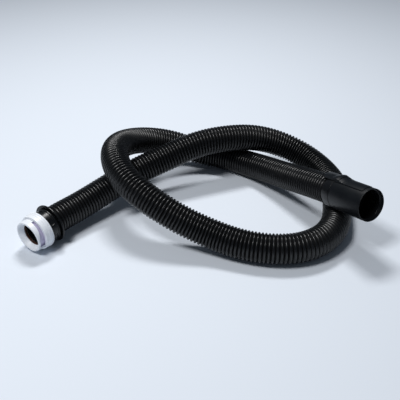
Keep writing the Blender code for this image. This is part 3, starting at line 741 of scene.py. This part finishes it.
def make_inlet_nozzle():
    """White nozzle: mouth funnel, slanted bayonet grooves and the two-tier band."""
    outline = (
        (21.0, 39.5, 1.2), (21.0, 29.0, 0.3), (23.8, 29.0, 0.9), (23.8, 23.5, 0.3), (24.2, 23.1, 0.2),
        (24.2, 16.9, 0.8), (22.2, 16.9, 0.3), (22.2, 26.0), (19.4, 26.0), (19.4, 12.0), (19.85, 12.0),
        (19.85, 11.4), (19.4, 11.0), (19.4, 9.0), (18.4, 9.0), (18.4, 22.3), (17.2, 22.3), (17.2, 32.2),
        (15.0, 32.2, 0.3), (15.0, 33.0, 0.3), (18.7, 39.5, 0.9),
    )
    nozzle = turned("nozzle_work", outline)
    for i, turn in enumerate(GROOVE_TURNS):
        cut(nozzle, groove_sector("groove_%d" % i, GROOVE_FRONT, turn, GROOVE_FLOOR_R))
        cut(nozzle, groove_sector("notch_%d" % i, NOTCH_FRONT, turn, NOTCH_FLOOR_R))
    finished(nozzle, "nozzle", INLET, WHITE, "inlet_collar", "inlet_nozzle")


def ridge_ring_tree():
    """Geometry nodes that set small ridges side by side round a circle."""
    tree = bpy.data.node_groups.new("ridge_ring", "GeometryNodeTree")
    tree.interface.new_socket("Geometry", in_out="INPUT", socket_type="NodeSocketGeometry")
    ids = {
        "count": add_input(tree, "Ridges", "NodeSocketInt", 90),
        "radius": add_input(tree, "Ring radius", "NodeSocketFloat", 0.024),
        "ridge": add_input(tree, "Ridge radius", "NodeSocketFloat", 0.0004),
        "length": add_input(tree, "Ridge length", "NodeSocketFloat", 0.0015),
        "height": add_input(tree, "Height", "NodeSocketFloat", 0.017),
        "material": add_input(tree, "Material", "NodeSocketMaterial"),
    }
    tree.interface.new_socket("Geometry", in_out="OUTPUT", socket_type="NodeSocketGeometry")
    into = node(tree, "NodeGroupInput")
    out = node(tree, "NodeGroupOutput")
    links = tree.links
    ring = node(tree, "GeometryNodeCurvePrimitiveCircle")
    links.new(into.outputs["Ridges"], ring.inputs["Resolution"])
    links.new(into.outputs["Ring radius"], ring.inputs["Radius"])
    bar = node(tree, "GeometryNodeMeshCylinder")
    bar.inputs["Vertices"].default_value = GRIP_RIDGE_SIDES
    links.new(into.outputs["Ridge radius"], bar.inputs["Radius"])
    links.new(into.outputs["Ridge length"], bar.inputs["Depth"])
    seats = node(tree, "GeometryNodeInstanceOnPoints")
    links.new(ring.outputs[0], seats.inputs["Points"])
    links.new(bar.outputs[0], seats.inputs["Instance"])
    offset = node(tree, "ShaderNodeCombineXYZ")
    links.new(into.outputs["Height"], offset.inputs["Z"])
    lift = node(tree, "GeometryNodeTransform")
    links.new(seats.outputs[0], lift.inputs["Geometry"])
    links.new(offset.outputs[0], lift.inputs["Translation"])
    close_tree(tree, lift.outputs[0], into, out)
    return tree, ids


def make_grip_ridges():
    """Fine ridges round the rear edge of the white band."""
    holder = bpy.data.objects.new("ridges_work", bpy.data.meshes.new("ridges_work"))
    WORK.objects.link(holder)
    tree, ids = ridge_ring_tree()
    ring = holder.modifiers.new("Ridges", "NODES")
    ring.node_group = tree
    ring[ids["count"]] = GRIP_RIDGES
    ring[ids["radius"]] = GRIP_RING_R
    ring[ids["ridge"]] = GRIP_RIDGE_R
    ring[ids["length"]] = GRIP_RIDGE_L
    ring[ids["height"]] = GRIP_Z
    ring[ids["material"]] = WHITE
    finished(holder, "grip_ridges", INLET, WHITE, "inlet_collar", None)


def make_inlet_seal():
    """Rubber seal ring in the throat."""
    outline = ((16.9, 31.9, 0.3), (16.9, 28.9, 0.3), (14.9, 28.9, 0.5), (14.9, 31.9, 0.5))
    finished(turned("seal_work", outline), "seal", INLET, RUBBER, "inlet_collar",
             "inlet_seal")


def make_cuff_insert():
    """Shoulder ring between the hose and the cuff."""
    outline = (
        (18.9, 33.0, 0.6), (18.9, 24.0), (19.3, 23.2), (18.9, 22.4), (18.9, 12.9), (21.1, 12.9, 0.4),
        (20.6, 0.0, 0.3), (19.9, 0.0), (19.9, 6.0), (15.5, 6.0), (15.5, 33.0, 0.3),
    )
    finished(turned("insert_work", outline), "shoulder_insert", CUFF, GLOSS_BLACK, "hose_body",
             "cuff_insert")


def gloss_inside(mesh, place, radius, depth):
    """Smoother plastic without the grain on a mesh's faces inside a radius and beyond a depth."""
    mesh.materials.append(GLOSS_BLACK)
    back = place.inverted()
    for face in mesh.polygons:
        spot = back @ face.center
        if spot.xy.length < radius and spot.z > depth:
            face.material_index = 1


def plan_block(name, width, rear, front, rear_round, front_round):
    """Working prism along local X with a round-cornered plan in millimetres; it sets a width."""
    half = width / 2
    corners = ((half, rear, rear_round), (half, front, front_round), (-half, front, front_round),
               (-half, rear, rear_round))
    bm = bmesh.new()
    plan = bm.faces.new([bm.verts.new((0, y, z)) for y, z in rounded(corners, PLAN_ARC_STEPS)])
    grown = bmesh.ops.extrude_face_region(bm, geom=[plan])
    moved = [item for item in grown["geom"] if isinstance(item, bmesh.types.BMVert)]
    bmesh.ops.translate(bm, vec=(PLAN_DEPTH, 0, 0), verts=moved)
    bmesh.ops.recalc_face_normals(bm, faces=bm.faces)
    return working(name, bm)


def make_wand_cuff():
    """Cuff with the stepped mouth, the latch's recess, the pin's lug and the hook's window."""
    outline = (
        (21.2, 68.7, 0.5), (21.0, 13.2, 0.5), (19.2, 13.2), (19.2, 22.1), (19.6, 22.1), (19.6, 24.3),
        (19.2, 24.3), (19.2, 33.4), (17.0, 33.4, 0.4), (17.0, 36.4, 0.4), (18.8, 36.4), (18.8, 63.9, 0.5),
        (20.3, 63.9, 0.3), (20.3, 68.7, 0.3),
    )
    body = turned("cuff_work", outline)
    recess = turned("recess_work", ((25.2, 62.9), (25.2, 11.2), (20.3, 11.2), (20.3, 62.9)))
    plan = plan_block("recess_width", width=18.7, rear=-20.0, front=62.9, rear_round=0.5, front_round=2.0)
    cut(recess, plan, "INTERSECT")
    cut(body, recess)
    cut(body, soft_block("lug_work", LUG_SIZE, (LUG_X, 0, PIVOT_Z), bevel=0.0004), "UNION")
    cut(body, soft_block("window_work", WINDOW_SIZE, (WINDOW_X, 0, HOOK_Z)))
    cut(body, rod("lug_bore", PIVOT_BORE_R, LUG_BORE_L, (PIVOT_R, 0, PIVOT_Z), "X"))
    cuff = finished(body, "cuff", CUFF, CUFF_BLACK, "hose_body", "wand_cuff")
    gloss_inside(cuff.data, CUFF, SOCKET_R, SOCKET_BACK_Z)


def make_latch_lever():
    """Rocking lever: tongue-shaped press pad, hump with its parting groove, strip and hook."""
    outline = (
        (21.8, 62.5, 0.6), (22.0, 32.0, 8.0), (22.5, 27.0, 3.0), (24.0, 21.5, 4.0), (25.1, 17.0, 2.0),
        (25.3, 14.8, 1.0), (24.7, 11.2, 2.0), (23.3, 5.9, 3.0), (23.2, -10.7), (22.5, -12.1),
        (21.9, -12.1), (21.9, 13.8), (20.7, 14.8), (20.7, 62.5),
    )
    lever = turned("lever_work", outline)
    plan = plan_block("lever_width", width=17.6, rear=-12.1, front=62.4, rear_round=7.5, front_round=1.6)
    cut(lever, plan, "INTERSECT")
    cut(lever, turned("parting_work", ((26.0, 21.3), (26.0, 20.3), (23.3, 20.3), (23.3, 21.3))))
    cut(lever, soft_block("hook_work", HOOK_SIZE, (HOOK_X, 0, HOOK_Z), bevel=0.0003), "UNION")
    cut(lever, soft_block("slot_work", SLOT_SIZE, (SLOT_X, 0, PIVOT_Z)))
    cut(lever, rod("lever_bore", PIVOT_BORE_R, LEVER_BORE_L, (PIVOT_R, 0, PIVOT_Z), "X"))
    cut(lever, rod("well_work", WELL_R, WELL_L, WELL_CENTRE, "Y"))
    finished(lever, "latch", CUFF, LATCH_BLACK, "latch", "latch_lever")


def dress_frame():
    """Materials of the CAD nodes that stay."""
    for name, material in (("swivel_ring", STEEL), ("latch_pin", STEEL), ("latch_spring", STEEL)):
        mesh = frame["nodes"][name].data
        mesh.materials.clear()
        mesh.materials.append(material)


set_camera()
set_stage()
make_hose()
make_hose_connector()
make_flange_ring()
make_inlet_sleeve()
make_inlet_nozzle()
make_grip_ridges()
make_inlet_seal()
make_cuff_insert()
make_wand_cuff()
make_latch_lever()
dress_frame()
clear_work()
